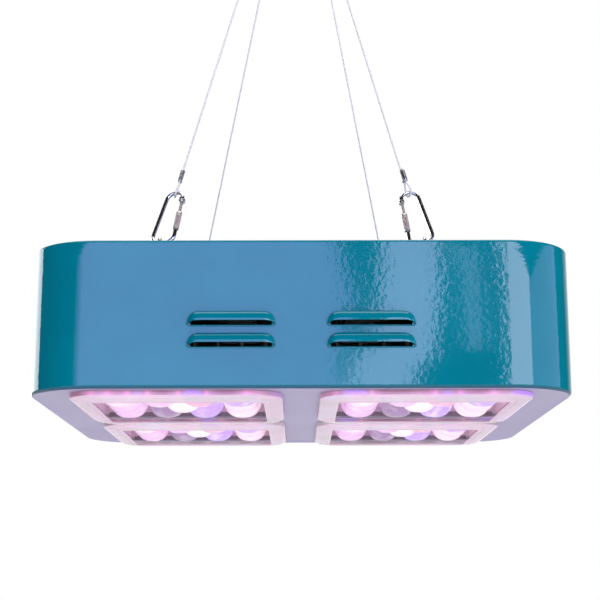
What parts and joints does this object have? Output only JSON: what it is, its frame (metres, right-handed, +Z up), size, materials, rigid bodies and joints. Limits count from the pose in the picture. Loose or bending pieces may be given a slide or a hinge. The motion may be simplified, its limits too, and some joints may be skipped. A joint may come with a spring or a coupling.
{
  "type": "led grow light",
  "caption": "Hanging LED grow light: louvred sheet-steel housing, lens modules in its lamp plate, top fans, and wire ropes with screw-gate carabiners that meet in a hanging ring.",
  "frame": {"origin": "the point of the hanging ring that rests on the ceiling hook", "axes": "+Z up, -Y to the louvred front, +X to the right seen from the front"},
  "size_m": [0.33, 0.3119, 0.4577],
  "materials": {
    "teal_paint": "gloss teal paint with slight orange peel",
    "white_paint": "satin white paint, lilac in the lamp light",
    "clear_cover": "clear gloss lens cover",
    "lens_plastic": "clear moulded lenses, lit pink and violet",
    "board_white": "white solder mask",
    "heat_sink_aluminium": "plain extruded",
    "driver_case": "satin",
    "black_plastic": "satin black",
    "guard_wire": "plated wire",
    "hardware_steel": "polished",
    "rope_steel": "stranded wire",
    "ferrule_aluminium": "crimped"
  },
  "bodies": {
    "ring": {"hang_ring": "hardware_steel"},
    "lamp": {"housing_shell": "teal_paint", "lamp_plate": "white_paint", "lens_cover_front_left": "clear_cover", "lens_cover_front_right": "clear_cover", "lens_cover_rear_left": "clear_cover", "lens_cover_rear_right": "clear_cover", "lens_array_front_left": "lens_plastic", "lens_array_front_right": "lens_plastic", "lens_array_rear_left": "lens_plastic", "lens_array_rear_right": "lens_plastic", "led_board_front_left": "board_white", "led_board_front_right": "board_white", "led_board_rear_left": "board_white", "led_board_rear_right": "board_white", "heat_sink_front": "heat_sink_aluminium", "heat_sink_rear": "heat_sink_aluminium", "led_driver_front": "driver_case", "led_driver_rear": "driver_case", "fan_frame_left": "black_plastic", "fan_frame_right": "black_plastic", "fan_guard_left": "guard_wire", "fan_guard_right": "guard_wire", "power_inlet": "black_plastic", "switch_frame": "black_plastic", "hang_eye_front_left": "hardware_steel", "hang_eye_front_right": "hardware_steel", "hang_eye_rear_left": "hardware_steel", "hang_eye_rear_right": "hardware_steel", "carabiner_hook_front_left": "hardware_steel", "carabiner_hook_front_right": "hardware_steel", "carabiner_hook_rear_left": "hardware_steel", "carabiner_hook_rear_right": "hardware_steel", "carabiner_rivet_front_left": "hardware_steel", "carabiner_rivet_front_right": "hardware_steel", "carabiner_rivet_rear_left": "hardware_steel", "carabiner_rivet_rear_right": "hardware_steel", "wire_rope_front_left": "rope_steel", "wire_rope_front_right": "rope_steel", "wire_rope_rear_left": "rope_steel", "wire_rope_rear_right": "rope_steel", "ferrule_low_front_left": "ferrule_aluminium", "ferrule_low_front_right": "ferrule_aluminium", "ferrule_low_rear_left": "ferrule_aluminium", "ferrule_low_rear_right": "ferrule_aluminium", "ferrule_high_front_left": "ferrule_aluminium", "ferrule_high_front_right": "ferrule_aluminium", "ferrule_high_rear_left": "ferrule_aluminium", "ferrule_high_rear_right": "ferrule_aluminium"},
    "fan_left": {"fan_rotor_left": "black_plastic"},
    "fan_right": {"fan_rotor_right": "black_plastic"},
    "rocker": {"switch_rocker": "black_plastic"},
    "gate_front_left": {"carabiner_gate_front_left": "hardware_steel"},
    "nut_front_left": {"lock_nut_front_left": "hardware_steel"},
    "gate_front_right": {"carabiner_gate_front_right": "hardware_steel"},
    "nut_front_right": {"lock_nut_front_right": "hardware_steel"},
    "gate_rear_left": {"carabiner_gate_rear_left": "hardware_steel"},
    "nut_rear_left": {"lock_nut_rear_left": "hardware_steel"},
    "gate_rear_right": {"carabiner_gate_rear_right": "hardware_steel"},
    "nut_rear_right": {"lock_nut_rear_right": "hardware_steel"}
  },
  "joints": [
    {"name": "lamp_swing", "type": "hinge", "parent": "ring", "child": "lamp", "pos_m": [0, 0, -0.0225], "axis": [1, 0, 0], "range_deg": [-15, 15]},
    {"name": "fan_spin_left", "type": "hinge", "parent": "lamp", "child": "fan_left", "pos_m": [-0.0718, 0, -0.3805], "axis": [0, 0, 1], "continuous": true},
    {"name": "fan_spin_right", "type": "hinge", "parent": "lamp", "child": "fan_right", "pos_m": [0.0782, 0, -0.3805], "axis": [0, 0, 1], "continuous": true},
    {"name": "switch_tilt", "type": "hinge", "parent": "lamp", "child": "rocker", "pos_m": [0.0982, 0.15, -0.4075], "axis": [0, 0, -1], "range_deg": [0, 18]},
    {"name": "gate_open_front_left", "type": "hinge", "parent": "lamp", "child": "gate_front_left", "pos_m": [-0.06866, -0.11784, -0.33229], "axis": [0.3514, 0.8483, -0.3962], "range_deg": [0, 22], "stiffness_Nm_per_rad": 0.02, "springref_deg": -17.19},
    {"name": "nut_lock_front_left", "type": "slide", "parent": "gate_front_left", "child": "nut_front_left", "axis": [-0.1337, -0.3734, -0.918], "range_m": [0, 0.003]},
    {"name": "gate_open_front_right", "type": "hinge", "parent": "lamp", "child": "gate_front_right", "pos_m": [0.0644, -0.11583, -0.33307], "axis": [0, -0.937, 0.3494], "range_deg": [0, 22], "stiffness_Nm_per_rad": 0.02, "springref_deg": -17.19},
    {"name": "nut_lock_front_right", "type": "slide", "parent": "gate_front_right", "child": "nut_front_right", "axis": [0.1238, -0.3467, -0.9298], "range_m": [0, 0.003]},
    {"name": "gate_open_rear_left", "type": "hinge", "parent": "lamp", "child": "gate_rear_left", "pos_m": [-0.06809, 0.11587, -0.33319], "axis": [0, 0.937, 0.3494], "range_deg": [0, 22], "stiffness_Nm_per_rad": 0.02, "springref_deg": -17.19},
    {"name": "nut_lock_rear_left", "type": "slide", "parent": "gate_rear_left", "child": "nut_rear_left", "axis": [-0.1343, 0.3462, -0.9285], "range_m": [0, 0.003]},
    {"name": "gate_open_rear_right", "type": "hinge", "parent": "lamp", "child": "gate_rear_right", "pos_m": [0.06458, 0.11581, -0.333], "axis": [0, -0.9371, -0.349], "range_deg": [0, 22], "stiffness_Nm_per_rad": 0.02, "springref_deg": -17.19},
    {"name": "nut_lock_rear_right", "type": "slide", "parent": "gate_rear_right", "child": "nut_rear_right", "axis": [0.1178, 0.3466, -0.9306], "range_m": [0, 0.003]}
  ]
}
